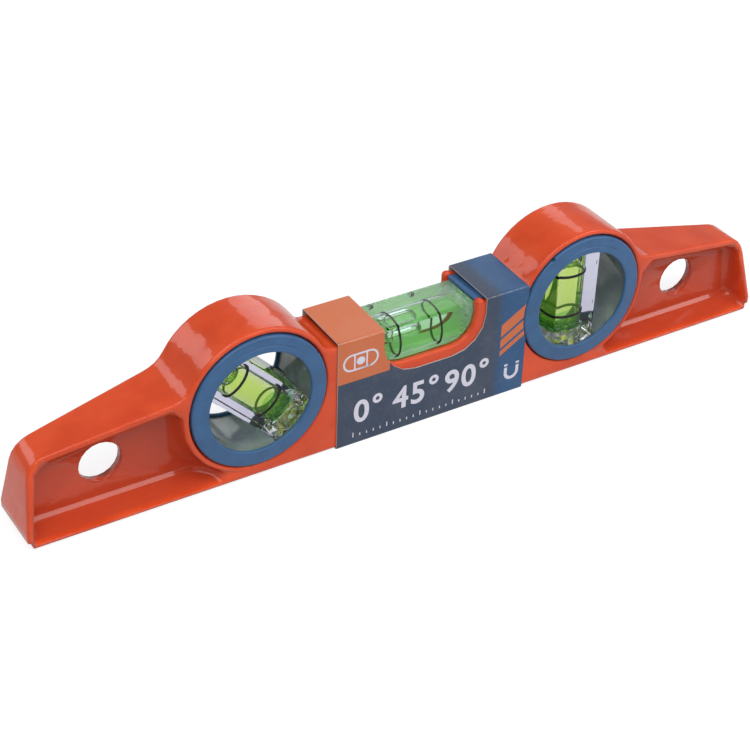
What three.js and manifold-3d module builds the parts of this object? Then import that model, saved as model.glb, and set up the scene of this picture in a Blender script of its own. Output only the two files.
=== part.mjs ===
// A cast scaffold level: a painted alloy body with a block vial in its top edge and one in each turret,
// magnets let into its sole, and a printed card sleeve folded round its middle.
// Millimetres. X runs along the level, Y from its front to its back, Z up from the face it rests on.
import * as THREE from 'three';
import { mergeVertices } from 'three/addons/utils/BufferGeometryUtils.js';
import Module from 'manifold-3d';

const wasm = await Module();
wasm.setup();

// Clearances
const fitGap = 0.3;
const cardGap = 0.1;
const cardWindowGap = 0.2;
const overrun = 1;

// Cast body
const levelLength = 250.8;
const bodyDepth = 19.8;
const soleSetback = 1.6;
const soleHeight = 2.4;
const castEdge = 0.8;

// Turrets
const turretSpacing = 110.16;
const turretRim = 1.75;
const turretSole = 1.75;

// Wings. The root is measured from the turret's middle and the tip from the end of the level.
const wingRootOffset = 25;
const wingRootHeight = 32.8;
const wingTipInset = 7.4;
const wingTipHeight = 26.1;
const wingTipDepth = 11.4;
const wingFootHeight = 4.6;
const wingEndLean = 3.2;
const wingCornerRadius = 7.5;
const wingFilletRadius = 9;

// Recess on each side of a wing, and the hanging hole through its web
const webThickness = 3.2;
const recessLip = 1.2;
const recessFloorShare = 0.22;
const recessTopRim = 2;
const recessEndRim = 1.7;
const recessDraftShare = 0.12;
const recessFootRadii = { floor: 1.2, end: 2.2, top: 2.2, turret: 5 };
const recessCornerRadii = { floorEnd: 2, endTop: 4.5, topTurret: 5, turretFloor: 2 };
const hangHoleInset = 25.44;
const hangHoleHeight = 15.1;
const hangHoleRadius = 6.54;

// Middle of the body, its window and the trough for the top vial
const middleHeight = 34.9;
const middleFilletRadius = 4;
const windowHalfWidth = 16.5;
const windowDepth = 12;
const windowCornerRadius = 8;
const windowRimWidth = 3;
const windowRimRise = 0.9;
const windowRimEndRadius = 1.3;

// Block vials
const vialEdge = 0.35;
const vialBoreShare = 2 / 3;
const vialCrown = 0.15;
const lineSpacing = 14.2;
const lineWidth = 0.8;
const lineThickness = 0.4;
const plugStep = 0.6;
const bubbleShare = 0.6;
const bubbleEndGap = 0.5;

const topVialLength = 40;
const topVialDrop = 1.3;
const topVialEnd = 3.6;
const topBubbleLength = 12.4;
const topBubbleOffset = -4.7;
const topLineOffset = 0;

const turretVialEnd = 5.1;
const turretPlugDepth = 1.2;
const turretBubbleLength = 8;
const turretLineOffset = -0.9;
const leftVialAngle = -135;
const rightVialAngle = -90;

// Bezels and the liner that holds a turret's vial between them
const bezelRadius = 21.3;
const bezelWidth = 5.25;
const bezelSeatShare = 0.788;
const bezelPlate = 1;
const bezelRimStand = 0.49;
const bezelLipStand = 0.91;
const bezelShoulder = 0.8;
const bezelSeatWidth = 2;
const bezelMouthChamfer = 0.5;
const bezelNotchWidth = 1;
const bezelNotchDepth = 0.5;
const leftNotchAngle = 31;
const rightNotchAngle = 125;
const linerWall = 2.4;
const linerBackWall = 0.7;

// Retainers at the ends of the top vial
const retainerLength = 7.1;
const retainerLip = 2.5;
const retainerPlate = 1.3;
const retainerEdge = 0.3;

// Magnets. On each side one is placed from the turret's middle and one from the end of the level.
const magnetRadius = 4;
const magnetThickness = 1.5;
const innerMagnetOffset = -11;
const outerMagnetInset = 39.4;

// Card sleeve
const cardThickness = 0.4;
const sleeveLength = 65.2;
const sleeveWindowWidth = 35;
const sleeveRearRise = 0.5;
const sleeveFold = 0.4;

// Facet counts
const turretFacets = 48;
const boreFacets = 40;
const smallFacets = 20;
const cornerSteps = 4;
const edgeSteps = 2;
const capSteps = 3;
const barrelSteps = 6;
const footAngles = [90, 72, 52, 28, 0];

// Worked out from the sizes above
const soleLevel = cardThickness + cardGap;
const halfLength = levelLength / 2;
const halfDepth = bodyDepth / 2;
const turretReach = turretSpacing / 2;
const turretRadius = bezelRadius + fitGap + turretRim;
const turretHeight = turretSole + turretRadius;
const turretBore = bezelRadius + fitGap - bezelSeatWidth;
const turretCentre = new THREE.Vector2(turretReach, turretHeight);
const rootLap = turretRadius / 4;
const bezelSeat = halfDepth * bezelSeatShare;
const vialWidth = 2 * (bezelSeat - fitGap);
const vialBore = (vialWidth / 2) * vialBoreShare;
const plugRadius = vialBore + plugStep;
const bubbleRadius = vialBore * bubbleShare;
const linerRadius = turretBore - fitGap;
const linerHalf = halfDepth + bezelLipStand - bezelPlate - fitGap;
const turretVialReach = linerRadius - linerBackWall - fitGap;
const wingRootReach = turretReach + wingRootOffset;
const wingTipReach = halfLength - wingTipInset;
const wingTopSlope = (wingTipHeight - wingRootHeight) / (wingTipReach - wingRootReach);
const wingEndSlope = -wingEndLean / (wingTipHeight - wingFootHeight);
const wingTopDirection = new THREE.Vector2(1, wingTopSlope).normalize();
const wingEndDirection = new THREE.Vector2(wingEndSlope, 1).normalize();
const windowSill = middleHeight - windowDepth;
const windowRimTop = middleHeight + windowRimRise;
const topVialTop = middleHeight - topVialDrop;
const topVialAxis = topVialTop - vialWidth / 2;
const bubbleLift = vialBore - vialCrown - fitGap - bubbleRadius;
const troughHalfWidth = vialWidth / 2 + fitGap;
const troughFloor = topVialTop - vialWidth - fitGap;
const retainerReach = topVialLength / 2 + fitGap + retainerLength;
const troughHalfLength = retainerReach + fitGap;
const sleeveWindowRight = windowHalfWidth + windowRimWidth + cardWindowGap;
const sleeveMiddle = sleeveWindowRight - sleeveWindowWidth / 2;
const magnetReaches = { inner: turretReach + innerMagnetOffset, outer: halfLength - outerMagnetInset };

const vector = (x, y) => new THREE.Vector2(x, y);
const wingTop = (x) => wingRootHeight + (x - wingRootReach) * wingTopSlope;

// Plane geometry

function arc(centre, from, to, steps) {
  const start = Math.atan2(from.y - centre.y, from.x - centre.x);
  const end = Math.atan2(to.y - centre.y, to.x - centre.x);
  const turn = THREE.MathUtils.euclideanModulo(end - start + Math.PI, 2 * Math.PI) - Math.PI;
  const radius = centre.distanceTo(from);
  return Array.from({ length: steps + 1 }, (_, i) => {
    const angle = start + (turn * i) / steps;
    return vector(centre.x + radius * Math.cos(angle), centre.y + radius * Math.sin(angle));
  });
}

function roundedCorner(before, corner, after, radius) {
  const back = before.clone().sub(corner).normalize();
  const onward = after.clone().sub(corner).normalize();
  const halfAngle = Math.acos(back.dot(onward)) / 2;
  const reach = radius / Math.tan(halfAngle);
  const middle = back.clone().add(onward).normalize();
  const centre = corner.clone().addScaledVector(middle, radius / Math.sin(halfAngle));
  const from = corner.clone().addScaledVector(back, reach);
  return arc(centre, from, corner.clone().addScaledVector(onward, reach), cornerSteps);
}

function roundedOutline(corners) {
  return corners.flatMap(({ at, radius }, i) => {
    if (!radius) return [at];
    const before = corners[(i + corners.length - 1) % corners.length].at;
    return roundedCorner(before, at, corners[(i + 1) % corners.length].at, radius);
  });
}

// Where two lines meet, each given by a point and a direction
function meet(pointA, directionA, pointB, directionB) {
  const between = pointB.clone().sub(pointA);
  const along = between.cross(directionB) / directionA.cross(directionB);
  return pointA.clone().addScaledVector(directionA, along);
}

// The fillet between a straight edge that leaves the turret and a circle about the turret's axis,
// as points from the edge to the circle. The normal points to the fillet's side of the edge.
function turretFillet(edgePoint, direction, normal, circleRadius, radius) {
  const start = edgePoint.clone().addScaledVector(normal, radius).sub(turretCentre);
  const middle = start.dot(direction);
  const span = (circleRadius + radius) ** 2 - start.lengthSq() + middle ** 2;
  const outward = start.addScaledVector(direction, Math.sqrt(span) - middle);
  const centre = turretCentre.clone().add(outward);
  const onEdge = centre.clone().addScaledVector(normal, -radius);
  const onCircle = turretCentre.clone().addScaledVector(outward.normalize(), circleRadius);
  return arc(centre, onEdge, onCircle, cornerSteps);
}

// Closed shapes

function facingOut(geometry) {
  const { position } = geometry.attributes;
  const { index } = geometry;
  const corners = [new THREE.Vector3(), new THREE.Vector3(), new THREE.Vector3()];
  let volume = 0;
  for (let i = 0; i < index.count; i += 3) {
    corners.forEach((corner, k) => corner.fromBufferAttribute(position, index.getX(i + k)));
    volume += corners[0].dot(corners[1].cross(corners[2]));
  }
  if (volume < 0) index.array.reverse();
  return geometry;
}

// One body from a three.js geometry, its shared corners merged and its empty triangles dropped
function body(geometry) {
  const bare = new THREE.BufferGeometry();
  bare.setAttribute('position', geometry.getAttribute('position'));
  bare.setIndex(geometry.index);
  const merged = mergeVertices(bare);
  const used = [];
  for (let i = 0; i < merged.index.count; i += 3) {
    const [a, b, c] = merged.index.array.slice(i, i + 3);
    if (a !== b && b !== c && c !== a) used.push(a, b, c);
  }
  merged.setIndex(used);
  facingOut(merged);
  const vertProperties = merged.attributes.position.array;
  const triVerts = new Uint32Array(merged.index.array);
  return new wasm.Manifold(new wasm.Mesh({ numProp: 3, vertProperties, triVerts }));
}

function placed(geometry, x, y, z) {
  return body(geometry.clone().translate(x, y, z));
}

// An outline in X and Z carried through the depth of the level, its long edges rounded
function slab(outline, depth, edge) {
  const geometry = new THREE.ExtrudeGeometry(new THREE.Shape(outline), {
    depth: depth - 2 * edge,
    bevelEnabled: edge > 0,
    bevelThickness: edge,
    bevelSize: edge,
    bevelOffset: -edge,
    bevelSegments: edgeSteps,
  });
  return geometry.rotateX(Math.PI / 2).translate(0, depth / 2 - edge, 0);
}

// A profile of [radius, place along the axis] turned about the Y axis
function turned(profile, facets) {
  return new THREE.LatheGeometry(profile.map(([radius, along]) => vector(radius, along)), facets);
}

// The same, turned about the X axis
function turnedAlongX(profile, facets) {
  return turned(profile, facets).rotateZ(-Math.PI / 2);
}

function rod(radius, from, to, facets) {
  return turned([[0, from], [radius, from], [radius, to], [0, to]], facets);
}

// Sections of equally many points joined by walls, closed by a face at each end
function loft(sections) {
  const count = sections[0].length;
  const cap = THREE.ShapeUtils.triangulateShape(sections[0].map((p) => vector(p.x, p.z)), []);
  const lastCap = THREE.ShapeUtils.triangulateShape(sections.at(-1).map((p) => vector(p.x, p.z)), []);
  const last = (sections.length - 1) * count;
  const index = cap.flatMap(([a, b, c]) => [a, c, b]);
  index.push(...lastCap.flatMap(([a, b, c]) => [last + a, last + b, last + c]));
  for (let s = 0; s < sections.length - 1; s += 1) {
    for (let i = 0; i < count; i += 1) {
      const a = s * count + i;
      const b = s * count + ((i + 1) % count);
      index.push(a, b, b + count, a, b + count, a + count);
    }
  }
  return new THREE.BufferGeometry().setFromPoints(sections.flat()).setIndex(index);
}

function mirrored(geometry, acrossX, acrossY) {
  return geometry.clone().scale(acrossX ? -1 : 1, acrossY ? -1 : 1, 1);
}

// Cast body

// A wing's outline runs under the turret at its root. Its depth narrows with the distance from the
// turret and with the height over the foot, so the top edge is slim at the tip and the foot is not.
function wing() {
  const rootPoint = vector(wingRootReach, wingRootHeight);
  const up = vector(-wingTopDirection.y, wingTopDirection.x);
  const endPoint = vector(halfLength, wingFootHeight);
  const tip = meet(rootPoint, wingTopDirection, endPoint, wingEndDirection);
  const outline = [
    vector(turretReach - rootLap, 0),
    vector(wingRootReach, 0),
    vector(halfLength, 0),
    endPoint,
    ...roundedCorner(endPoint, tip, rootPoint, wingCornerRadius),
    ...turretFillet(rootPoint, wingTopDirection, up, turretRadius, wingFilletRadius),
    vector(turretReach - rootLap, turretHeight),
  ];
  const geometry = slab(outline, bodyDepth, castEdge);
  const { position } = geometry.attributes;
  for (let i = 0; i < position.count; i += 1) {
    const [x, z] = [position.getX(i), position.getZ(i)];
    const outShare = Math.max(0, x - wingRootReach) / (wingTipReach - wingRootReach);
    const upShare = THREE.MathUtils.clamp((z - wingFootHeight) / (wingTop(x) - wingFootHeight), 0, 1);
    const lostShare = (1 - wingTipDepth / bodyDepth) * outShare * upShare;
    position.setY(i, position.getY(i) * (1 - lostShare));
  }
  return geometry;
}

// The recess in a wing's front side. Its walls draw in towards the web and end in rounded feet.
function recess() {
  const section = (y) => {
    const inset = halfDepth - Math.abs(y);
    const draft = inset * recessDraftShare;
    const overWeb = Math.abs(y) - webThickness / 2;
    const foot = (radius) => {
      const leftShare = THREE.MathUtils.clamp(1 - overWeb / radius, 0, 1);
      return radius * (1 - Math.sqrt(1 - leftShare ** 2));
    };
    const floor = recessLip + inset * recessFloorShare + foot(recessFootRadii.floor);
    const end = recessEndRim + draft + foot(recessFootRadii.end);
    const top = recessTopRim + draft + foot(recessFootRadii.top);
    const endPoint = vector(halfLength - end, wingFootHeight);
    const topPoint = vector(wingRootReach, wingRootHeight - top);
    const collar = turretRadius + draft + foot(recessFootRadii.turret);
    const down = vector(wingTopDirection.y, -wingTopDirection.x);
    const floorStart = vector(turretReach, floor);
    const floorEnd = meet(floorStart, vector(1, 0), endPoint, wingEndDirection);
    const endTop = meet(endPoint, wingEndDirection, topPoint, wingTopDirection);
    const { turretFloor, topTurret } = recessCornerRadii;
    const low = turretFillet(floorStart, vector(1, 0), vector(0, 1), collar, turretFloor);
    const high = turretFillet(topPoint, wingTopDirection, down, collar, topTurret);
    const outline = [
      ...roundedCorner(floorStart, floorEnd, endTop, recessCornerRadii.floorEnd),
      ...roundedCorner(floorEnd, endTop, topPoint, recessCornerRadii.endTop),
      ...high,
      ...arc(turretCentre, high.at(-1), low.at(-1), cornerSteps).slice(1, -1),
      ...low.reverse(),
    ];
    return outline.map((p) => new THREE.Vector3(p.x, y, p.y));
  };
  const reach = recessFootRadii.turret;
  const overWeb = footAngles.map((angle) => reach * (1 - Math.sin(THREE.MathUtils.degToRad(angle))));
  const levels = [...overWeb.map((over) => -webThickness / 2 - over), -halfDepth - overrun];
  return loft(levels.map(section));
}

function middleBlock() {
  const [middleTop, alongTop, up] = [vector(0, middleHeight), vector(1, 0), vector(0, 1)];
  const side = turretFillet(middleTop, alongTop.negate(), up, turretRadius, middleFilletRadius);
  const left = side.map((p) => vector(-p.x, p.y));
  const outline = [
    vector(-turretReach - rootLap, 0),
    vector(turretReach + rootLap, 0),
    vector(turretReach + rootLap, turretHeight),
    ...side.reverse(),
    ...left,
    vector(-turretReach - rootLap, turretHeight),
  ];
  return slab(outline, bodyDepth, castEdge);
}

// The U of the window's edge, wider than the opening by a margin on each side and below
function windowOutline(margin, top, endRadius) {
  const across = windowHalfWidth + margin;
  const sill = windowSill - margin;
  const radius = windowCornerRadius + margin;
  return roundedOutline([
    { at: vector(-across, top), radius: endRadius },
    { at: vector(-across, sill), radius },
    { at: vector(across, sill), radius },
    { at: vector(across, top), radius: endRadius },
  ]);
}

function windowRim() {
  const outer = windowOutline(windowRimWidth, windowRimTop, windowRimEndRadius);
  const innerPoints = windowOutline(0, windowRimTop, 0).reverse();
  const rightInner = roundedCorner(outer.at(-1), innerPoints[0], innerPoints[1], windowRimEndRadius);
  const leftInner = rightInner.map((p) => vector(-p.x, p.y)).reverse();
  const outline = [...outer, ...rightInner, ...innerPoints.slice(1, -1), ...leftInner];
  return slab(outline, bodyDepth, castEdge);
}

function castBody() {
  const seatRadius = bezelRadius + fitGap;
  const boreProfile = [
    [0, -halfDepth - overrun],
    [seatRadius + bezelMouthChamfer, -halfDepth - overrun],
    [seatRadius + bezelMouthChamfer, -halfDepth],
    [seatRadius, -halfDepth + bezelMouthChamfer],
    [seatRadius, -bezelSeat],
    [turretBore, -bezelSeat],
  ];
  const boreTool = turned(
    [...boreProfile, ...boreProfile.toReversed().map(([r, y]) => [r, -y])],
    turretFacets,
  );
  const turretProfile = [
    [0, -halfDepth],
    ...arc(
      vector(turretRadius - castEdge, castEdge - halfDepth),
      vector(turretRadius - castEdge, -halfDepth),
      vector(turretRadius, castEdge - halfDepth),
      edgeSteps,
    ).map((p) => [p.x, p.y]),
  ];
  const turretBody = turned(
    [...turretProfile, ...turretProfile.toReversed().map(([r, y]) => [r, -y])],
    turretFacets,
  );
  const hangHole = rod(hangHoleRadius, -halfDepth, halfDepth, smallFacets);
  const magnetPocket = rod(magnetRadius + fitGap, -overrun, magnetThickness + fitGap, smallFacets);
  magnetPocket.rotateX(Math.PI / 2);
  const soleStep = new THREE.BoxGeometry(2 * soleSetback, bodyDepth + overrun, 2 * soleHeight);
  const wingShape = wing();
  const recessShape = recess();

  let cast = body(middleBlock());
  for (const side of [-1, 1]) {
    cast = cast.add(placed(turretBody, side * turretReach, 0, turretHeight));
    cast = cast.add(body(mirrored(wingShape, side < 0, false)));
  }
  const cutTop = windowRimTop + overrun;
  cast = cast.subtract(body(slab(windowOutline(windowRimWidth / 2, cutTop, 0), bodyDepth + overrun, 0)));
  cast = cast.add(body(windowRim()));
  const troughDepth = cutTop - troughFloor;
  const trough = new THREE.BoxGeometry(2 * troughHalfLength, 2 * troughHalfWidth, troughDepth);
  cast = cast.subtract(placed(trough, 0, 0, troughFloor + troughDepth / 2));
  for (const side of [-1, 1]) {
    cast = cast.subtract(placed(boreTool, side * turretReach, 0, turretHeight));
    cast = cast.subtract(body(mirrored(recessShape, side < 0, false)));
    cast = cast.subtract(body(mirrored(recessShape, side < 0, true)));
    cast = cast.subtract(placed(hangHole, side * (halfLength - hangHoleInset), 0, hangHoleHeight));
    cast = cast.subtract(placed(soleStep, side * halfLength, 0, 0));
    for (const reach of Object.values(magnetReaches)) {
      cast = cast.subtract(placed(magnetPocket, side * reach, 0, 0));
    }
  }
  return cast;
}

// Vials, each along its own X axis with its middle at the origin

const boreRadius = (along, half) => vialBore - vialCrown * (along / half) ** 2;

// Everything cut from a vial block: the barrel-shaped bore, a groove for each line and the plug's seat
function cavityTool(half, endReach, lines) {
  const grooveRadius = vialBore + lineThickness + fitGap;
  const grooveHalf = lineWidth / 2 + fitGap;
  const profile = [[0, half], [boreRadius(half, half), half]];
  for (const line of lines) {
    const [upper, lower] = [line + grooveHalf, line - grooveHalf];
    profile.push([boreRadius(upper, half), upper], [grooveRadius, upper]);
    profile.push([grooveRadius, lower], [boreRadius(lower, half), lower]);
    if (line === lines[0]) profile.push([boreRadius(0, half), 0]);
  }
  profile.push([boreRadius(half, half), -half], [plugRadius + fitGap, -half]);
  profile.push([plugRadius + fitGap, -endReach], [0, -endReach]);
  return body(turnedAlongX(profile, smallFacets));
}

function capsule(radius, from, to) {
  const end = (centre, side) => {
    const pole = vector(0, centre + side * radius);
    return arc(vector(0, centre), pole, vector(radius, centre), capSteps);
  };
  const upper = end(to - radius, 1);
  const lower = end(from + radius, -1).reverse();
  return turnedAlongX([...upper, ...lower].map((p) => [p.x, p.y]), smallFacets);
}

// The liquid fills the bore but for the channel along which the bubble runs
function liquidBody(half, lift) {
  const reach = half - fitGap;
  const profile = [[0, -reach]];
  for (let i = 0; i <= barrelSteps; i += 1) {
    const along = -reach + (2 * reach * i) / barrelSteps;
    profile.push([boreRadius(along, half) - fitGap, along]);
  }
  profile.push([0, reach]);
  const run = rod(bubbleRadius + fitGap, -half, half, smallFacets).rotateZ(-Math.PI / 2);
  return body(turnedAlongX(profile, smallFacets)).subtract(placed(run, 0, 0, lift));
}

// Materials, as seen under soft light
function finish(color, roughness, extra = {}) {
  return new THREE.MeshStandardMaterial({ color, roughness, metalness: 0, ...extra });
}
const redPaint = finish(0xd3502f, 0.25);
const bluePlastic = finish(0x44678f, 0.35);
const clearAcrylic = finish(0xe6efe9, 0.05, { transparent: true, opacity: 0.3 });
const smokedAcrylic = finish(0x8a938f, 0.2, { transparent: true, opacity: 0.7 });
const greenLiquid = finish(0x9fd75f, 0.1, { transparent: true, opacity: 0.6 });
const air = finish(0xf4fbef, 0.05, { transparent: true, opacity: 0.4 });
const blackLine = finish(0x0c100d, 0.6);
const bareMagnet = finish(0xb9bbbe, 0.3, { metalness: 1 });
const printedCard = finish(0x48566a, 0.5);

const level = new THREE.Group();

function addPiece(parent, name, shape, material) {
  const mesh = shape.getMesh();
  const geometry = new THREE.BufferGeometry();
  geometry.setAttribute('position', new THREE.BufferAttribute(mesh.vertProperties, mesh.numProp));
  geometry.setIndex(new THREE.BufferAttribute(mesh.triVerts, 1));
  geometry.computeVertexNormals();
  const piece = new THREE.Mesh(geometry, material);
  piece.name = name;
  parent.add(piece);
  return piece;
}

// The pieces of one vial. The bubble rests at a place along the vial's axis, and lift is how far it
// lies off that axis, towards the upper side.
function addVial(parent, name, block, size) {
  const { half, endReach, plugReach, bubbleLength, rest, lift, lineOffset } = size;
  const lines = [lineOffset + lineSpacing / 2, lineOffset - lineSpacing / 2];
  addPiece(parent, `${name}_block`, block.subtract(cavityTool(half, endReach, lines)), clearAcrylic);
  addPiece(parent, `${name}_liquid`, liquidBody(half, lift), greenLiquid);
  const bubble = capsule(bubbleRadius, rest - bubbleLength / 2, rest + bubbleLength / 2);
  addPiece(parent, `${name}_bubble`, placed(bubble, 0, 0, lift), air);
  const ring = turnedAlongX([
    [vialBore, -lineWidth / 2],
    [vialBore + lineThickness, -lineWidth / 2],
    [vialBore + lineThickness, lineWidth / 2],
    [vialBore, lineWidth / 2],
    [vialBore, -lineWidth / 2],
  ], smallFacets);
  addPiece(parent, `${name}_line_a`, placed(ring, lines[0], 0, 0), blackLine);
  addPiece(parent, `${name}_line_b`, placed(ring, lines[1], 0, 0), blackLine);
  const plug = rod(plugRadius, -plugReach, -half - fitGap, smallFacets).rotateZ(-Math.PI / 2);
  addPiece(parent, `${name}_plug`, body(plug), clearAcrylic);
}

function vialBar(length) {
  const half = vialWidth / 2;
  const square = [
    vector(-length / 2, -half),
    vector(length / 2, -half),
    vector(length / 2, half),
    vector(-length / 2, half),
  ];
  return body(slab(square, 2 * half, vialEdge));
}

// Top vial, seen through the window and from above
function addTopVial() {
  const vial = new THREE.Group();
  vial.position.z = topVialAxis;
  level.add(vial);
  addVial(vial, 'top_vial', vialBar(topVialLength), {
    half: topVialLength / 2 - topVialEnd,
    endReach: topVialLength / 2 + overrun,
    plugReach: topVialLength / 2,
    bubbleLength: topBubbleLength,
    rest: topBubbleOffset,
    lift: bubbleLift,
    lineOffset: topLineOffset,
  });
}

// A retainer closes each end of the trough and laps over the end of the vial
function addRetainers() {
  const foot = troughFloor + fitGap;
  const lap = topVialTop + fitGap;
  const inner = topVialLength / 2 + fitGap;
  const outline = [
    vector(inner, foot),
    vector(retainerReach, foot),
    vector(retainerReach, lap + retainerPlate),
    vector(topVialLength / 2 - retainerLip, lap + retainerPlate),
    vector(topVialLength / 2 - retainerLip, lap),
    vector(inner, lap),
  ];
  const shape = slab(outline, vialWidth, retainerEdge);
  addPiece(level, 'right_vial_retainer', body(shape), bluePlastic);
  addPiece(level, 'left_vial_retainer', body(mirrored(shape, true, false)), bluePlastic);
}

// A bezel drops into the mouth of the bore. Its plate laps over the liner, which reaches into its
// skirt, and a notch in its rim takes the tip of a screwdriver.
function bezel(rear, notchAngle) {
  const seat = bezelSeat + fitGap;
  const face = halfDepth + bezelRimStand;
  const lip = halfDepth + bezelLipStand;
  const opening = bezelRadius - bezelWidth;
  const inner = opening + bezelShoulder;
  const ring = turned([
    [turretBore, seat],
    [bezelRadius, seat],
    [bezelRadius, face - bezelShoulder],
    [bezelRadius - bezelShoulder / 2, face - bezelShoulder / 4],
    [bezelRadius - bezelShoulder, face],
    [inner, lip],
    [opening, lip - bezelShoulder / 2],
    [opening, lip - bezelPlate],
    [turretBore, lip - bezelPlate],
    [turretBore, seat],
  ], boreFacets);
  const notch = new THREE.BoxGeometry(2 * bezelNotchDepth, 2 * bodyDepth, bezelNotchWidth);
  notch.translate(bezelRadius, 0, 0).rotateY(-THREE.MathUtils.degToRad(notchAngle));
  return body(mirrored(ring, false, !rear)).subtract(body(notch));
}

// A turret's vial, its liner and its two bezels. The vial's X axis points to where the bubble rests.
function addTurret(name, side, { angle, lift, notchAngle }) {
  const turret = new THREE.Group();
  turret.position.set(side * turretReach, 0, turretHeight);
  level.add(turret);
  addPiece(turret, `${name}_rear_bezel`, bezel(true, notchAngle), bluePlastic);
  addPiece(turret, `${name}_front_bezel`, bezel(false, notchAngle), bluePlastic);

  const inside = new THREE.Group();
  inside.rotation.y = THREE.MathUtils.degToRad(angle);
  turret.add(inside);
  const bar = vialBar(2 * (turretVialReach + overrun));
  const rounded = body(rod(turretVialReach, -vialWidth, vialWidth, boreFacets));
  const half = turretVialReach - turretVialEnd;
  addVial(inside, `${name}_vial`, bar.intersect(rounded), {
    half,
    endReach: turretVialReach + overrun,
    plugReach: turretVialReach - turretPlugDepth,
    bubbleLength: turretBubbleLength,
    rest: half - bubbleEndGap - turretBubbleLength / 2,
    lift,
    lineOffset: turretLineOffset,
  });
  const liner = turned([
    [linerRadius - linerWall, -linerHalf],
    [linerRadius, -linerHalf],
    [linerRadius, linerHalf],
    [linerRadius - linerWall, linerHalf],
    [linerRadius - linerWall, -linerHalf],
  ], boreFacets);
  const seatReach = turretVialReach + fitGap;
  const seatHalf = vialWidth / 2 + fitGap;
  const seat = new THREE.BoxGeometry(2 * turretRadius, 2 * linerHalf + overrun, 2 * seatHalf);
  const seatRound = rod(seatReach, -turretRadius, turretRadius, boreFacets);
  const vialSeat = body(seat).intersect(body(seatRound));
  addPiece(inside, `${name}_liner`, body(liner).subtract(vialSeat), smokedAcrylic);
}

function addMagnets() {
  const disc = rod(magnetRadius, 0, magnetThickness, smallFacets).rotateX(Math.PI / 2);
  for (const [side, hand] of [[-1, 'left'], [1, 'right']]) {
    for (const [place, reach] of Object.entries(magnetReaches)) {
      addPiece(level, `${hand}_${place}_magnet`, placed(disc, side * reach, 0, 0), bareMagnet);
    }
  }
}

// The sleeve is one strip of card folded round the middle and cut away over the window on both
// sides. It is slack along the top's rear fold, and cut back where it meets a turret and its bezels.
function addSleeve() {
  const side = halfDepth + cardGap;
  const top = windowRimTop + cardGap;
  const section = (out) => roundedOutline([
    vector(-side - out, -cardGap - out),
    vector(side + out, -cardGap - out),
    vector(side + out, top + sleeveRearRise + out),
    vector(-side - out, top + out),
  ].map((at) => ({ at, radius: sleeveFold + out })));
  const strip = new THREE.Shape(section(cardThickness));
  strip.holes.push(new THREE.Path(section(0)));
  const tube = new THREE.ExtrudeGeometry(strip, { depth: sleeveLength, bevelEnabled: false });
  tube.rotateX(Math.PI / 2).rotateZ(Math.PI / 2).translate(sleeveMiddle - sleeveLength / 2, 0, 0);

  const cutTop = top + sleeveRearRise + cardThickness + overrun;
  const cutLeft = sleeveWindowRight - sleeveWindowWidth;
  const cutSill = windowSill - windowRimWidth - cardWindowGap;
  const radius = windowCornerRadius + windowRimWidth + cardWindowGap;
  const window = slab(roundedOutline([
    { at: vector(cutLeft, cutTop) },
    { at: vector(cutLeft, cutSill), radius },
    { at: vector(sleeveWindowRight, cutSill), radius },
    { at: vector(sleeveWindowRight, cutTop) },
  ]), 2 * bodyDepth, 0);
  const reliefs = [
    rod(bezelRadius + fitGap, -bodyDepth, bodyDepth, turretFacets),
    rod(turretRadius + fitGap, -side, side, turretFacets),
  ];
  let sleeve = body(tube).subtract(body(window));
  for (const relief of reliefs) {
    sleeve = sleeve.subtract(placed(relief, turretReach, 0, turretHeight));
  }
  addPiece(level, 'card_sleeve', sleeve, printedCard);
}

addPiece(level, 'cast_body', castBody(), redPaint);
addTopVial();
addRetainers();
addTurret('left', -1, { angle: leftVialAngle, lift: -bubbleLift, notchAngle: leftNotchAngle });
addTurret('right', 1, { angle: rightVialAngle, lift: bubbleLift, notchAngle: rightNotchAngle });
addMagnets();
addSleeve();
level.position.z = soleLevel;

export default level;
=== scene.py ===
"""Dresses the packed cast spirit level: painted body, plastic bezels, block vials and printed card."""

import math
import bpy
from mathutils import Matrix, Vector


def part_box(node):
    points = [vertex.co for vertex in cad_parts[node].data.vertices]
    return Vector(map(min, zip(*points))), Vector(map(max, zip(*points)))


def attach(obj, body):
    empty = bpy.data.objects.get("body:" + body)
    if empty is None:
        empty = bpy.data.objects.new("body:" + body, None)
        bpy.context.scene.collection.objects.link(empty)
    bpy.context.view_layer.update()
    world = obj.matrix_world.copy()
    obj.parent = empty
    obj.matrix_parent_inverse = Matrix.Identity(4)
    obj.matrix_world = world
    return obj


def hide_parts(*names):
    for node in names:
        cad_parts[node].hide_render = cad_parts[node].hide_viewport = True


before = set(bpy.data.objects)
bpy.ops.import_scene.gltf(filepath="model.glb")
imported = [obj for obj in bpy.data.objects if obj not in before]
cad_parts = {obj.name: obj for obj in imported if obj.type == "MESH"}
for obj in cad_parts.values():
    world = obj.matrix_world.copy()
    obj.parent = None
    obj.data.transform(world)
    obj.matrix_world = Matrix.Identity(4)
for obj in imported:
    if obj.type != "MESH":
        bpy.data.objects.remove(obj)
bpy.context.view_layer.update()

from types import SimpleNamespace

import bmesh
import bpy
import numpy as np
from mathutils import Matrix, Vector

bl_info = {
    "name": "Cast spirit level",
    "version": (1, 0, 0),
    "blender": (4, 5, 0),
    "location": "View3D > Sidebar > Level",
    "description": "Builds the looks of a cast spirit level round its packed solids",
    "category": "Object",
}

MM = 0.001


def box_in_mm(node):
    """The low and the high corner of a CAD node's box."""
    return np.array([tuple(corner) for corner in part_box(node)]) / MM


def middle(node):
    return box_in_mm(node).mean(0)


# Sizes and colours. Lengths that only the code uses are in mm.

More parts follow.
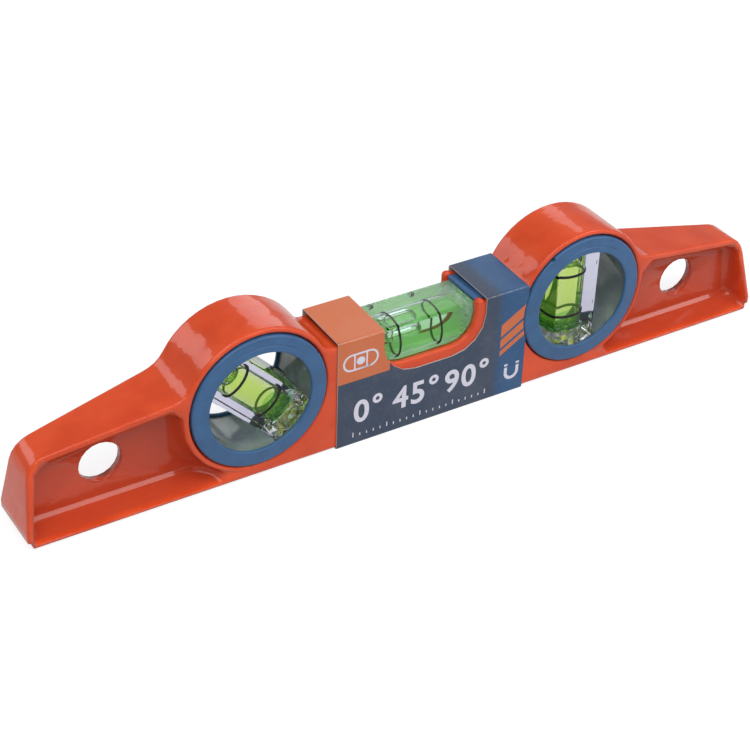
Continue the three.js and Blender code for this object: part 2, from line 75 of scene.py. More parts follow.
SLANT = math.sqrt(0.5)
SOLE = 0.5  # the sole stands this high, because the sleeve passes under it
LEFT_TURRET = middle("left_front_bezel") * (1, 0, 1)
RIGHT_TURRET = middle("right_front_bezel") * (1, 0, 1)
VIAL_HALF_WIDTH = np.ptp(box_in_mm("top_vial_block")[:, 1]) / 2
BLOCK_EDGE = 0.35  # radius of a block's edges
BUBBLE_DROP = 0.35  # from the bore's wall to the bubble's upper side
SEAT_STEP, PLUG_STEP = 0.9, 0.85  # how much wider than the bore the plug's seat and the plug are
ACRYLIC_IOR, LIQUID_IOR = 1.49, 1.37

# A wing: where it starts, its length, the height of its roof and how much that falls, its half depth
# and how much that narrows, its end and how much that leans, and the foot and the web of its hollows
WING = SimpleNamespace(
    start=80.1, length=37.9, roof=33.3, fall=6.7, half_depth=9.9, narrowing=4.2,
    end=125.4, lean=0.149, foot=5.1, web=1.6,
)
# The casting's window beside the top vial: its level part, the radius of its corners and its sill
WINDOW = SimpleNamespace(half=8.5, corner=8.0, sill=23.3, behind=7.3)
# The print on the sleeve: where its fields meet, and the bars' place, slope and heights
PRINT = SimpleNamespace(
    orange_end=-13.2, orange_foot=22.1, blue=(22.5, 27.5), bars_start=25.6, bars_top=35.6,
    slope=0.60, bars=((-1.4, 0.4), (1.4, 4.4), (5.4, 9.6)),
)
# The photograph's camera: where it looks from, in degrees, how far off, and what it looks at
CAMERA = SimpleNamespace(
    azimuth=-32.382, elevation=34.758, roll=1.994, distance=546.07, target=(-11.553, 0, 13.909)
)
# Name, place in m, width, height, power in W and colour
LAMPS = (
    ("Key", (-0.50, -0.55, 1.10), 1.0, 1.0, 9.3, (1.0, 0.98, 0.96)),
    ("Front panel", (0.50, -0.66, 0.78), 0.86, 0.42, 4.4, (1.0, 0.98, 0.97)),
    ("Left back panel", (-0.55, 0.77, 0.47), 0.32, 0.30, 0.75, (0.96, 0.97, 1.0)),
    ("Right back panel", (0.51, 0.80, 0.45), 0.30, 0.54, 0.78, (0.96, 0.97, 1.0)),
    ("Right fill", (0.95, -0.45, 0.45), 0.55, 0.8, 1.5, (0.95, 0.97, 1.0)),
)


def size_property(label, text, default):
    """A length, given here in mm and kept in metres as Blender's lengths are."""
    return bpy.props.FloatProperty(
        name=label, description=text, default=default * MM, min=0, soft_max=0.1, precision=6,
        unit="LENGTH", subtype="DISTANCE",
    )


def colour_property(label, text, default):
    return bpy.props.FloatVectorProperty(
        name=label, description=text, default=default, subtype="COLOR", size=3, min=0, max=1
    )


class PaintSettings(bpy.types.PropertyGroup):
    """Enamel on the casting"""
    colour: colour_property("Enamel", "Colour of the enamel", (0.79, 0.089, 0.022))
    # Painted shade: the enamel is drawn darker deep in the wings' hollows, where shade falls.
    hollow_shade_colour: colour_property("Enamel in hollows", "Enamel deep in the wings", (0.50, 0.062, 0.026))
    # Paler enamel on edges: paint pulled thin there, and partly a painted highlight.
    thin_and_highlight_colour: colour_property("Thin enamel", "Enamel where it pulls thin over an edge", (0.86, 0.17, 0.07))
    edge_radius: size_property("Edge radius", "Rounding of the casting's edges", 0.9)
    peel: size_property("Orange peel", "Height of the enamel's fine waves", 0.006)
    swell: size_property("Swell", "Height of the casting's long waves", 0.42)


class PlasticSettings(bpy.types.PropertyGroup):
    """Moulded blue plastic"""
    colour: colour_property("Plastic", "Colour of the plastic", (0.047, 0.138, 0.302))
    groove_radius: size_property("Groove radius", "Radius of the engraved arc", 18.2)
    groove_depth: size_property("Groove depth", "Depth of the engraved arc", 0.2)
    notch_width: size_property("Notch width", "Width of the pry notch", 1.0)
    notch_depth: size_property("Notch depth", "Depth of the pry notch", 0.5)
    plate: size_property("Plate", "Thickness of the bezel's plate at its opening", 1.0)
    grain: size_property("Grain", "Height of the moulded grain", 0.004)


class VialSettings(bpy.types.PropertyGroup):
    """Block vials"""
    bore: size_property("Bore radius", "Radius of the bore at its middle", 5.0)
    crown: size_property("Crown", "How far the bore closes towards its ends", 0.15)
    line_spacing: size_property("Line spacing", "Distance between the reading lines", 14.2)
    line_width: size_property("Line width", "Width of a turret vial's reading line", 0.9)
    # Painted shade: the turret blocks are tinted a dim lavender-grey that stands in for the shaded backdrop seen
    # through them.
    acrylic: colour_property("Acrylic", "Tint of the clear blocks", (0.56, 0.56, 0.69))
    top_acrylic: colour_property("Top acrylic", "Tint of the top vial's block", (0.48, 0.58, 0.64))
    liquid: colour_property("Liquid", "What the turrets' liquid lets through", (0.84, 0.95, 0.10))
    top_liquid: colour_property("Top liquid", "What the top vial's liquid lets through", (0.69, 0.955, 0.54))
    glow: colour_property("Glow", "Light that the liquid gives back", (0.35, 1.0, 0.05))
    liner: colour_property("Liner", "Colour of the smoked liners", (0.22, 0.265, 0.28))
    backing: colour_property("Backing", "Colour of the top vial's underside", (0.78, 0.86, 0.74))


class CardSettings(bpy.types.PropertyGroup):
    """Printed card sleeve"""
    slate: colour_property("Slate", "Ground of the print", (0.048, 0.070, 0.115))
    blue: colour_property("Blue", "Print at the right end", (0.030, 0.100, 0.230))
    orange: colour_property("Orange", "Print at the left end and in the bars", (0.64, 0.17, 0.065))
    ink: colour_property("White print", "Numbers and signs", (0.78, 0.77, 0.88))
    raw: colour_property("Raw card", "Cut edges and inside of the card", (0.60, 0.58, 0.55))
    ink_height: size_property("Ink height", "Thickness of the printed signs", 0.015)


class StudioSettings(bpy.types.PropertyGroup):
    """Floor, light and camera"""
    floor: colour_property("Floor", "Colour of the floor", (0.55, 0.55, 0.55))
    lens: bpy.props.FloatProperty(
        name="Lens", description="Focal length of the camera", default=89.10, min=1, soft_max=300, unit="CAMERA"
    )


def in_mm(group):
    """The values of a group of settings, with its lengths turned into mm."""
    values = {key: getattr(group, key) for key in type(group).__annotations__}
    return SimpleNamespace(**{
        key: value / MM if isinstance(value, float) else tuple(value) for key, value in values.items()
    })


def vial_at(centre, along, lift, **sizes):
    """A vial: its middle, its long axis and the side on which its bubble runs, and its sizes along it."""
    along, lift = np.array(along, float), np.array(lift, float)
    return SimpleNamespace(centre=centre, axes=np.stack([along, np.cross(lift, along), lift]), **sizes)


# A bubble is its length, half width, half height and place along the bore.
VIALS = (
    vial_at(
        middle("top_vial_block"), (1, 0, 0), (0, 0, 1), name="top_vial", body="top_bubble",
        half=16.4, plug_end=20.0, round_end=None, lines_at=0.0, line_share=0.75, bubble=(12.4, 3.15, 2.15, -4.7),
    ),
    vial_at(
        LEFT_TURRET, (-SLANT, 0, SLANT), (SLANT, 0, SLANT), name="left_vial", body="left_bubble",
        half=13.2, plug_end=17.1, round_end=18.3, lines_at=-0.9, line_share=1.0, bubble=(5.5, 4.25, 3.9, 10.0),
    ),
    vial_at(
        RIGHT_TURRET, (0, 0, 1), (-1, 0, 0), name="right_vial", body="right_bubble",
        half=13.2, plug_end=17.1, round_end=18.3, lines_at=-0.9, line_share=1.0, bubble=(4.6, 4.3, 4.3, 10.5),
    ),
)


# Surfaces

def grid_faces(rows, columns, start=0):
    """Quads that join each point of a grid to its neighbours in the next row and column."""
    corner = start + np.arange(rows - 1)[:, None] * columns + np.arange(columns - 1)[None, :]
    return np.stack([corner, corner + 1, corner + columns + 1, corner + columns], -1).reshape(-1, 4)


def merge_points(mesh, weld, closed):
    """Merges points that coincide. A closed shell also loses its faces without area, and every face
    of it is turned outwards."""
    shell = bmesh.new()
    shell.from_mesh(mesh)
    bmesh.ops.remove_doubles(shell, verts=shell.verts, dist=weld)
    if closed:
        bmesh.ops.dissolve_degenerate(shell, edges=shell.edges, dist=weld / 2)
        bmesh.ops.recalc_face_normals(shell, faces=shell.faces)
    shell.to_mesh(mesh)
    shell.free()
    mesh.update()


def new_object(name, data):
    """A new object in the scene."""
    thing = bpy.data.objects.new(name, data)
    bpy.context.scene.collection.objects.link(thing)
    return thing


def finish_piece(name, mesh, materials, slot, replaced=(), sharp=40, body="level"):
    """Makes the object, smooths it up to an angle, hangs it on its CAD body and hides the CAD nodes it stands in
    for.
    """
    for material in materials:
        mesh.materials.append(material)
    mesh.shade_smooth()
    mesh.set_sharp_from_angle(angle=math.radians(sharp))
    piece = new_object(name, mesh)
    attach(piece, body)
    if replaced:
        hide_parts(*replaced)
    return piece


def piece_from_patches(name, patches, materials, slot, replaced=(), kinds=None, weld=2e-6, **options):
    """Welds grids of points, in mm, into one closed mesh. Kinds are the patches' material indices."""
    faces, indices, start = [], [], 0
    for patch, kind in zip(patches, kinds or [0] * len(patches)):
        faces.append(grid_faces(*patch.shape[:2], start))
        indices.append(np.full(len(faces[-1]), kind, np.int32))
        start += patch.shape[0] * patch.shape[1]
    points = np.concatenate([patch.reshape(-1, 3) for patch in patches]) * MM
    mesh = bpy.data.meshes.new(name)
    mesh.from_pydata(points.tolist(), [], np.concatenate(faces).tolist())
    mesh.polygons.foreach_set("material_index", np.concatenate(indices))
    merge_points(mesh, weld, closed=True)
    return finish_piece(name, mesh, materials, slot, replaced, **options)


def dressed_copy(name, node, materials, slot, sharp=40):
    """A merged copy of a CAD node in its place, with smooth faces weighted by their area."""
    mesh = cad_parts[node].data.copy()
    mesh.name = name
    mesh.materials.clear()
    merge_points(mesh, 2e-6, closed=False)
    piece = finish_piece(name, mesh, materials, slot, (node,), sharp)
    weighted = piece.modifiers.new("Weighted normals", "WEIGHTED_NORMAL")
    weighted.mode = "FACE_AREA"
    weighted.weight = 60
    weighted.keep_sharp = True
    return piece


def face_values(mesh, what, kind=np.float32, width=3):
    """One value of each face of a mesh."""
    values = np.zeros(len(mesh.polygons) * width, kind)
    mesh.polygons.foreach_get(what, values)
    return values.reshape(-1, width)


def lathe(profile, turn=np.linspace(0, 2 * np.pi, 97)):
    """Each [radius, along] of a profile carried round the x axis: the point at an angle is the radius
    times its cosine and sine, at its place along the axis."""
    profile = np.asarray(profile, float)
    along = np.repeat(profile[:, 1:2], len(turn), 1)
    return np.stack([along, profile[:, :1] * np.cos(turn), profile[:, :1] * np.sin(turn)], -1)


def rounded_profile(corners, radii, steps):
    """A line through corner points, each corner replaced by an arc that touches both its sides."""
    corners = np.asarray(corners, float)
    out = [corners[:1]]
    for before, at, after, radius in zip(corners, corners[1:], corners[2:], radii):
        back, onward = before - at, after - at
        back, onward = back / np.linalg.norm(back), onward / np.linalg.norm(onward)
        half = math.acos(np.clip(back @ onward, -1, 1)) / 2
        centre = at + (back + onward) / np.linalg.norm(back + onward) * radius / math.sin(half)
        first, last = (at + side * radius / math.tan(half) - centre for side in (back, onward))
        share = np.linspace(0, 1, steps + 1)[:, None]
        arc = first * (1 - share) + last * share
        out.append(centre + arc / np.linalg.norm(arc, axis=1, keepdims=True) * radius)
    return np.concatenate(out + [corners[-1:]])


def square_loop(half, radius, steps, pieces):
    """The outline of a square with rounded corners, as [y, z] points that close on themselves, with
    each of its sides cut into equal pieces."""
    angle = np.concatenate([np.linspace(q, q + np.pi / 2, steps + 1) for q in np.pi / 2 * np.arange(4)])
    side = np.repeat(np.arange(4), steps + 1)
    centre = (half - radius) * np.stack([[1, -1, -1, 1], [1, 1, -1, -1]], 1)[side]
    loop = centre + radius * np.stack([np.cos(angle), np.sin(angle)], 1)
    loop = np.concatenate([loop, loop[:1]])
    share = np.arange(pieces)[None, :, None] / pieces
    parts = loop[:-1, None] * (1 - share) + loop[1:, None] * share
    return np.concatenate([parts.reshape(-1, 2), loop[:1]])


# Nodes

def sum_of(operation, swapped=False):
    """A method that adds one Math node to a value."""
    def work(value, *others):
        return value.nodes.maths(operation, *(others + (value,) if swapped else (value,) + others))
    return work


class Value:
    """A number on its way through the nodes of a material, with which sums are written as usual."""
    __add__ = sum_of("ADD")
    __sub__ = sum_of("SUBTRACT")
    __rsub__ = sum_of("SUBTRACT", swapped=True)
    __mul__ = sum_of("MULTIPLY")
    __abs__ = sum_of("ABSOLUTE")
    __lt__ = sum_of("LESS_THAN")
    __gt__ = sum_of("GREATER_THAN")
    most = sum_of("MAXIMUM")
    least = sum_of("MINIMUM")
    root = sum_of("SQRT")
    sign = sum_of("SIGN")

    def __init__(self, nodes, socket):
        self.nodes, self.socket = nodes, socket

    def between(self, low, high):
        """0 below low, 1 above high and a smooth step between."""
        values = {"Value": self, "From Min": low, "From Max": high}
        node = self.nodes.add("MapRange", values, interpolation_type="SMOOTHSTEP")
        return Value(self.nodes, node.outputs["Result"])


class Nodes:
    """The shader nodes of a material or of the world, under construction."""

    def __init__(self, owner, output):
        owner.use_nodes = True
        self.tree = owner.node_tree
        self.tree.nodes.clear()
        self.output = self.tree.nodes.new("ShaderNodeOutput" + output)

    def add(self, kind, values=None, **settings):
        """A new node. Its inputs are given by name or number, each as another node's output or as a value."""
        node = self.tree.nodes.new("ShaderNode" + kind)
        for key, value in settings.items():
            setattr(node, key, value)
        for key, value in (values or {}).items():
            if isinstance(value, Value):
                value = value.socket
            if isinstance(value, bpy.types.NodeSocket):
                self.tree.links.new(value, node.inputs[key])
            else:
                colour = node.inputs[key].type == "RGBA"
                node.inputs[key].default_value = (*value, 1) if colour else value
        return node

    def shader(self, kind, values):
        return self.add(kind, values).outputs[0]

    def blend(self, share, first, second):
        """Two shaders mixed."""
        return self.shader("MixShader", {0: share, 1: first, 2: second})

    def maths(self, operation, *values, clamp=False):
        node = self.add("Math", dict(enumerate(values)), operation=operation, use_clamp=clamp)
        return Value(self, node.outputs[0])

    def vector(self, operation, *values):
        return self.add("VectorMath", dict(enumerate(values)), operation=operation).outputs

    def ray(self, kind):
        """1 for a ray of this kind and 0 for any other."""
        return Value(self, self.add("LightPath").outputs[f"Is {kind} Ray"])

    def surface(self, shader):
        self.tree.links.new(shader, self.output.inputs["Surface"])


class Finish(Nodes):
    """A material under construction, whose patterns lie on the object's own coordinates."""

    def __init__(self, name):
        self.material = bpy.data.materials.new(name)
        super().__init__(self.material, "Material")
        self.place = self.add("TexCoord").outputs["Object"]

    def coordinates(self):
        """The place on the object as x, y and z in mm."""
        parts = self.add("SeparateXYZ", {0: self.place}).outputs
        return [Value(self, part) * (1 / MM) for part in parts]

    def stretched(self, *scale):
        return self.add("Mapping", {"Vector": self.place, "Scale": scale}).outputs[0]

    def noise(self, size, detail, roughness, place=None):
        """Noise whose features are about as large as size, in mm, from 0 to 1."""
        values = {"Vector": place or self.place, "Scale": 1 / (size * MM), "Detail": detail, "Roughness": roughness}
        return Value(self, self.add("TexNoise", values).outputs["Fac"])

    def mix(self, share, first, second):
        """Two colours mixed."""
        return self.add("Mix", {0: share, 6: first, 7: second}, data_type="RGBA").outputs[2]

    def bump(self, height, depth, normal=None):
        """A surface normal from a height of 0 to 1 that stands for depth, in mm."""
        values = {"Height": height, "Distance": depth * MM, "Strength": 1.0}
        if normal is not None:
            values["Normal"] = normal
        return self.add("Bump", values).outputs["Normal"]

    def rounded(self, radius):
        """The normal of the surface as if its edges had this radius, in mm."""
        return self.add("Bevel", {"Radius": radius * MM}, samples=6).outputs["Normal"]

    def true_normal(self):
        return self.add("NewGeometry").outputs["Normal"]

    def edge_share(self, normal):
        """How much a rounded normal turns away from the true one: 0 on faces and up to 1 at edges."""
        turned = self.vector("DOT_PRODUCT", normal, self.true_normal())["Value"]
        return self.maths("SUBTRACT", 1.0, turned, clamp=True)

    def lets_light_by(self, shader, colour):
        """The same shader, which lets light through on its way from a lamp."""
        return self.blend(self.ray("Shadow"), shader, self.shader("BsdfTransparent", {"Color": colour}))

    def surface(self, shader):
        super().surface(shader)
        return self.material

    def principled(self, colour, roughness, values=None, lets_by=None):
        """The look of most materials. A colour for lets_by is what it lets by on the way from a lamp."""
        shader = self.shader("BsdfPrincipled", {"Base Color": colour, "Roughness": roughness, **(values or {})})
        return self.surface(self.lets_light_by(shader, lets_by) if lets_by else shader)


def shaded(colour, *factors):
    """A colour times one factor, or times one for each channel, and never brighter than white."""
    return tuple(min(1, c * f) for c, f in zip(colour, factors * (3 // len(factors))))


# Materials

def enamel(settings):
    """Gloss enamel on a casting: long swells, fine orange peel, painted shade in the hollows, and paler, thinner,
    rougher paint on edges, partly a painted highlight.
    """
    paint = Finish("Red-orange enamel")
    hollow_shade = hollow_shade_share(paint)
    rounded = paint.rounded(settings.edge_radius)
    edge = paint.edge_share(rounded).between(0.015, 0.22) * (hollow_shade * -0.8 + 1.0)
    cloud = paint.noise(14, 3, 0.55)
    dust = paint.noise(0.9, 2, 0.6).between(0.70, 0.80)
    deep = shaded(settings.colour, 0.86, 0.72, 0.62)
    colour = paint.mix(cloud.between(0.32, 0.72), deep, settings.colour)
    # Painted shade: darker enamel deep in the hollows.
    colour = paint.mix(hollow_shade * 0.75, colour, settings.hollow_shade_colour)
    # Paler edges: thin paint and partly a painted highlight.
    colour = paint.mix(edge * 0.5, colour, settings.thin_and_highlight_colour)
    colour = paint.mix(dust * 0.18, colour, (0.85, 0.45, 0.33))
    normal = paint.bump(paint.noise(9, 2.5, 0.45), settings.swell, rounded)
    normal = levelled_foot(paint, normal)
    normal = paint.bump(paint.noise(0.8, 1.5, 0.5), settings.peel, normal)
    return paint.principled(colour, cloud * 0.10 + 0.18 + edge * 0.06, {
        "Normal": normal, "Specular IOR Level": 0.14,
        "Coat Normal": normal, "Coat Weight": 0.52, "Coat Roughness": 0.03,
    })


def levelled_foot(paint, normal):
    """The same normal, but halfway between up and outwards where the floor of a hollow runs into the
    web, so that the rounded foot there shines as one flat strip."""
    x, y, z = paint.coordinates()
    off_web, reach = abs(y) - WING.web, abs(x)
    share = off_web.between(1.25, 1.0) * off_web.between(0.0, 0.04)
    for value, faint, full in ((z, 3.45, 3.6), (z, 4.75, 4.55), (reach, 70.0, 74.0), (reach, 122.4, 121.8)):
        share = share * value.between(faint, full)
    flat = paint.add("CombineXYZ", {0: 0.0, 1: y.sign() * SLANT, 2: SLANT}).outputs[0]
    turned = paint.add("Mix", {0: share * 0.94, 4: normal, 5: flat}, data_type="VECTOR").outputs[1]
    return paint.vector("NORMALIZE", turned)[0]


def hollow_shade_share(paint):
    """Where painted shade lies: 1 deep in the hollows of the wings, where shade falls, and 0 on the
    casting's outside. The wing's half depth there falls with the distance from the turret times the height
    over the foot, and a point's depth is what is left of it."""
    x, y, z = paint.coordinates()
    reach, over_foot = abs(x), z - WING.foot
    out = paint.maths("DIVIDE", reach - WING.start, WING.length, clamp=True)
    roof = out * -WING.fall + WING.roof
    up = paint.maths("DIVIDE", over_foot, roof - WING.foot, clamp=True)
    side = out * up * -WING.narrowing + WING.half_depth
    end = over_foot * -WING.lean + WING.end
    share = (side - abs(y)).between(0.3, 2.4)
    for depth, faint, full in ((roof - z, 2.0, 3.0), (end - reach, 1.8, 2.6), (z, 1.0, 1.8), (reach, 60, 66)):
        share = share * depth.between(faint, full)
    return share


def moulded_plastic(name, settings):
    """Satin plastic: a fine grain, faint streaks of flow and paler edges, partly slight wear and partly a painted
    highlight.
    """
    plastic = Finish(name)
    rounded = plastic.rounded(0.18)
    edge = plastic.edge_share(rounded).between(0.02, 0.3)
    cloud = plastic.noise(6, 3, 0.6)
    scratch = plastic.noise(0.35, 2, 0.5, plastic.stretched(1.0, 1.0, 0.08)).between(0.70, 0.76)
    light = tuple(min(1, c * 1.5 + 0.02) for c in settings.colour)
    colour = plastic.mix(cloud.between(0.3, 0.75), shaded(settings.colour, 0.82), settings.colour)
    # Paler edges: partly wear, partly a painted highlight.
    colour = plastic.mix(edge * 0.6, colour, light)
    colour = plastic.mix(scratch * 0.12, colour, light)
    normal = plastic.bump(plastic.noise(0.22, 2, 0.5), settings.grain, rounded)
    return plastic.principled(colour, cloud * 0.14 + 0.30, {"Specular IOR Level": 0.4, "Normal": normal})


def clear_acrylic(name, tint, backing=None):
    """Polished clear acrylic with faint flow lines from moulding. A colour for the backing paints its
    rear side up to the edge of the casting's window."""
    acrylic = Finish(name)
    dust = acrylic.noise(0.5, 2, 0.5).between(0.68, 0.75)
    look = acrylic.lets_light_by(acrylic.shader("BsdfPrincipled", {
        "Base Color": tint, "Roughness": dust * 0.12, "IOR": ACRYLIC_IOR, "Transmission Weight": 1.0,
        "Specular Tint": (0.5, 0.5, 0.5), "Normal": acrylic.bump(acrylic.noise(3.5, 2, 0.4), 0.010),
    }), tint)
    if backing:
        painted = acrylic.shader("BsdfDiffuse", {"Color": backing})
        look = acrylic.blend(below_window(acrylic), look, painted)
    return acrylic.surface(look)


def below_window(acrylic):
    """1 on the rear side of the top vial where the casting hides it, 0 elsewhere. The window's edge
    is level in the middle and rises at both ends by a quarter of a circle."""
    x, y, z = acrylic.coordinates()
    beyond = abs(x) - WINDOW.half
    across = beyond.most(0.0).least(WINDOW.corner)
    fall = (WINDOW.corner**2 - across * across).root()
    edge = (WINDOW.sill + WINDOW.corner) - fall
    return (z < edge).most(beyond > WINDOW.corner) * (y > WINDOW.behind)


def frosted_acrylic(name, tint, cement_tint):
    """Acrylic crazed by the cement that holds the plug: each small flake of it lies at its own angle,
    so that it glints or goes dark, with clouded patches between."""
    acrylic = Finish(name)
    flake = acrylic.add("TexVoronoi", {"Vector": acrylic.place, "Scale": 1 / (1.7 * MM)}).outputs["Color"]
    fine = acrylic.noise(0.5, 3, 0.6)
    tilt = acrylic.vector("SUBTRACT", flake, (0.5, 0.5, 0.5))[0]
    tilt = acrylic.vector("MULTIPLY", tilt, (1.1, 1.1, 1.1))[0]
    turned = acrylic.vector("NORMALIZE", acrylic.vector("ADD", acrylic.true_normal(), tilt)[0])[0]
    cement, cloudy, _ = (Value(acrylic, part) for part in acrylic.add("SeparateColor", {0: flake}).outputs)
    colour = acrylic.mix(cement.between(0.45, 0.55), tint, cement_tint)
    return acrylic.principled(colour, fine.between(0.55, 0.8) * 0.5, {
        "Normal": acrylic.bump(fine, 0.06, turned), "IOR": ACRYLIC_IOR,
        "Transmission Weight": cloudy.between(0.66, 0.70) * -0.6 + 0.92,
    }, tint)


def wetted_wall():
    """The wall of a bore where liquid wets it: the acrylic's own side of it bends no light. In the
    turrets it turns dark green past the lower reading line. How far a point lies towards the lower end is
    measured from the turret's middle, along the slant at the left and down at the right."""
    wall = Finish("Wetted bore wall")
    x, _, z = wall.coordinates()
    dark_green_span, turrets_from = (9.6, 10.4), 28.0
    turret_x, _, turret_z = LEFT_TURRET.tolist()
    down = turret_z - z
    slant = (x - turret_x + down) * SLANT
    left = slant.between(*dark_green_span) * (x < -turrets_from)
    right = down.between(*dark_green_span) * (x > turrets_from)
    faint = wall.noise(2.0, 2, 0.5).between(0.2, 0.9)
    colour = wall.mix(faint, (0.99, 0.99, 0.99), (1, 1, 1))
    colour = wall.mix(left.most(right) * 0.8, colour, (0.36, 0.70, 0.44))
    return wall.surface(wall.shader("BsdfTransparent", {"Color": colour}))


def glass_against(finish, ior, ripple_size, ripple_depth, lets_by):
    """Rippled glass between two clear stuffs, whose bend is the ratio of their own."""
    ripple = finish.bump(finish.noise(ripple_size, 1, 0.4), ripple_depth)
    glass = {"Color": (1, 1, 1), "Roughness": 0.0, "IOR": ior, "Normal": ripple}
    return finish.surface(finish.lets_light_by(finish.shader("BsdfGlass", glass), lets_by))


def vial_liquid(name, lets_by, settings, strength):
    """Yellow-green vial liquid against acrylic, which takes out blue and gives a little green back."""
    liquid = Finish(name)
    takes = liquid.shader("VolumeAbsorption", {"Color": lets_by, "Density": 165.0})
    gives = liquid.shader("Emission", {"Color": settings.glow, "Strength": strength})
    both = liquid.shader("AddShader", {0: takes, 1: gives})
    liquid.tree.links.new(both, liquid.output.inputs["Volume"])
    return glass_against(liquid, LIQUID_IOR / ACRYLIC_IOR, 4, 0.004, (0.80, 0.95, 0.50))


def bubble_skin():
    """The skin of an air bubble, seen from the liquid."""
    return glass_against(Finish("Bubble skin"), 1 / LIQUID_IOR, 3, 0.002, (0.95, 0.98, 0.93))


def line_print():
    """Black reading line, slightly uneven where it was rolled on."""
    line = Finish("Black reading line")
    patch = line.noise(0.8, 3, 0.6)
    colour = line.mix(patch.between(0.35, 0.75), (0.002, 0.003, 0.002), (0.007, 0.010, 0.008))
    return line.principled(colour, patch * 0.3 + 0.35, {"Specular IOR Level": 0.05})


def smoked_liner(settings):
    """Smoked plastic: grey-green, glossy, with cloudy patches, flow marks and specks in it. Its tone is painted
    lighter in the left turret than in the right, as a lit and a shaded copy."""
    liner = Finish("Smoked liner")
    cloud = liner.noise(7, 4, 0.6)
    streak = liner.noise(1.3, 3, 0.55, liner.stretched(1.0, 0.25, 1.0))
    speck = liner.noise(0.45, 2, 0.6).between(0.70, 0.76)
    # Painted light and shade: the same liner is drawn lighter in the left turret than in the right.
    shaded_right_turret = liner.coordinates()[0].between(-20, 20)
    lit_or_shaded_tone = liner.mix(shaded_right_turret, shaded(settings.liner, 1.3, 1.34, 1.22), settings.liner)
    colour = liner.mix(cloud.between(0.3, 0.7), shaded(settings.liner, 0.8), lit_or_shaded_tone)
    colour = liner.mix(streak.between(0.55, 0.72) * 0.25, colour, shaded(settings.liner, 1.35))
    colour = liner.mix(speck * 0.6, colour, (0.55, 0.62, 0.52))
    return liner.principled(colour, streak * 0.15 + 0.08, {
        "Normal": liner.bump(streak, 0.012, liner.rounded(0.2)), "IOR": ACRYLIC_IOR, "Transmission Weight": 0.22,
    }, (0.35, 0.38, 0.36))


def backing_paint(settings):
    """Pale backing on the underside of the top vial, so that its lines read against it."""
    paint = Finish("Pale vial backing")
    patch = paint.noise(3.0, 3, 0.55).between(0.3, 0.7)
    return paint.principled(paint.mix(patch, shaded(settings.backing, 0.85), settings.backing), 0.55)


def nickel_plate():
    """Bright nickel plate with fine wear."""
    plate = Finish("Nickel plate")
    cloud = plate.noise(2.2, 4, 0.6)
    colour = plate.mix(cloud.between(0.3, 0.7), (0.52, 0.51, 0.49), (0.70, 0.69, 0.67))
    normal = plate.bump(plate.noise(0.25, 2, 0.5), 0.004, plate.rounded(0.2))
    return plate.principled(colour, cloud * 0.2 + 0.16, {"Metallic": 1.0, "Normal": normal})


def white_ink(settings):
    """Off-white screen print with a slightly mottled cover."""
    ink = Finish("Off-white print")
    mottle = ink.noise(0.5, 3, 0.6)
    colour = ink.mix(mottle.between(0.3, 0.7), shaded(settings.ink, 0.9), settings.ink)
    return ink.principled(colour, mottle * 0.2 + 0.35)


def printed_card(settings, box):
    """Coated card with a flat print. The print follows the place on the sleeve: orange at the left
    end and in slanted bars, blue at the right end and slate between. The folds are a little paler,
    and the top one follows the sleeve's slack there."""
    card = Finish("Printed card")
    x, y, z = card.coordinates()
    up = z - SOLE
    orange = (x < PRINT.orange_end) * (up > PRINT.orange_foot)
    in_bars = (x > PRINT.bars_start) * (up < PRINT.bars_top)
    height = up - x * PRINT.slope
    for foot, head in PRINT.bars:
        orange = orange.most((height > foot) * (height < head) * in_bars)
    colour = card.mix(x.between(*PRINT.blue), settings.slate, settings.blue)
    colour = card.mix(orange, colour, settings.orange)
    mottle = card.noise(1.4, 4, 0.6)
    colour = card.mix(mottle.between(0.45, 0.8) * 0.05, colour, (0.5, 0.48, 0.5))
    colour = card.mix(card.noise(12, 3, 0.5).between(0.4, 0.75) * 0.025, colour, (0.9, 0.85, 0.85))

    (_, _, foot), (_, side, top) = box.tolist()
    slack = 0.5
    from_side = side - abs(y)
    from_top = abs((y - side) * (slack / (2 * side)) + top - z)
    from_fold = from_side.most(from_top).least(from_side.most(z - foot))
    worn = from_fold.between(0.55, 0.15) * card.noise(0.9, 3, 0.6).between(0.30, 0.65)
    return card.principled(card.mix(worn * 0.4, colour, settings.raw), mottle * 0.15 + 0.30, {
        "Normal": card.bump(mottle, 0.01), "Specular IOR Level": 0.25, "Coat Weight": 0.06, "Coat Roughness": 0.1,
    })


def raw_card(settings):
    """Bare card with fine fibres, where the sleeve is cut and on its inside."""
    card = Finish("Raw card")
    fibre = card.noise(0.12, 3, 0.6, card.stretched(0.15, 1.0, 1.0))
    colour = card.mix(fibre.between(0.3, 0.7), shaded(settings.raw, 0.6), settings.raw)
    return card.principled(colour, 0.85, {"Normal": card.bump(fibre, 0.01), "Specular IOR Level": 0.2})


# Pieces

def vial_piece(vial, tag, patches, materials, slot, node, **options):
    """A piece of a vial, whose patches are turned and moved to the vial's place."""
    placed = [patch @ vial.axes + vial.centre for patch in patches]
    return piece_from_patches(vial.name + tag, placed, materials, slot, (vial.name + node,), **options)


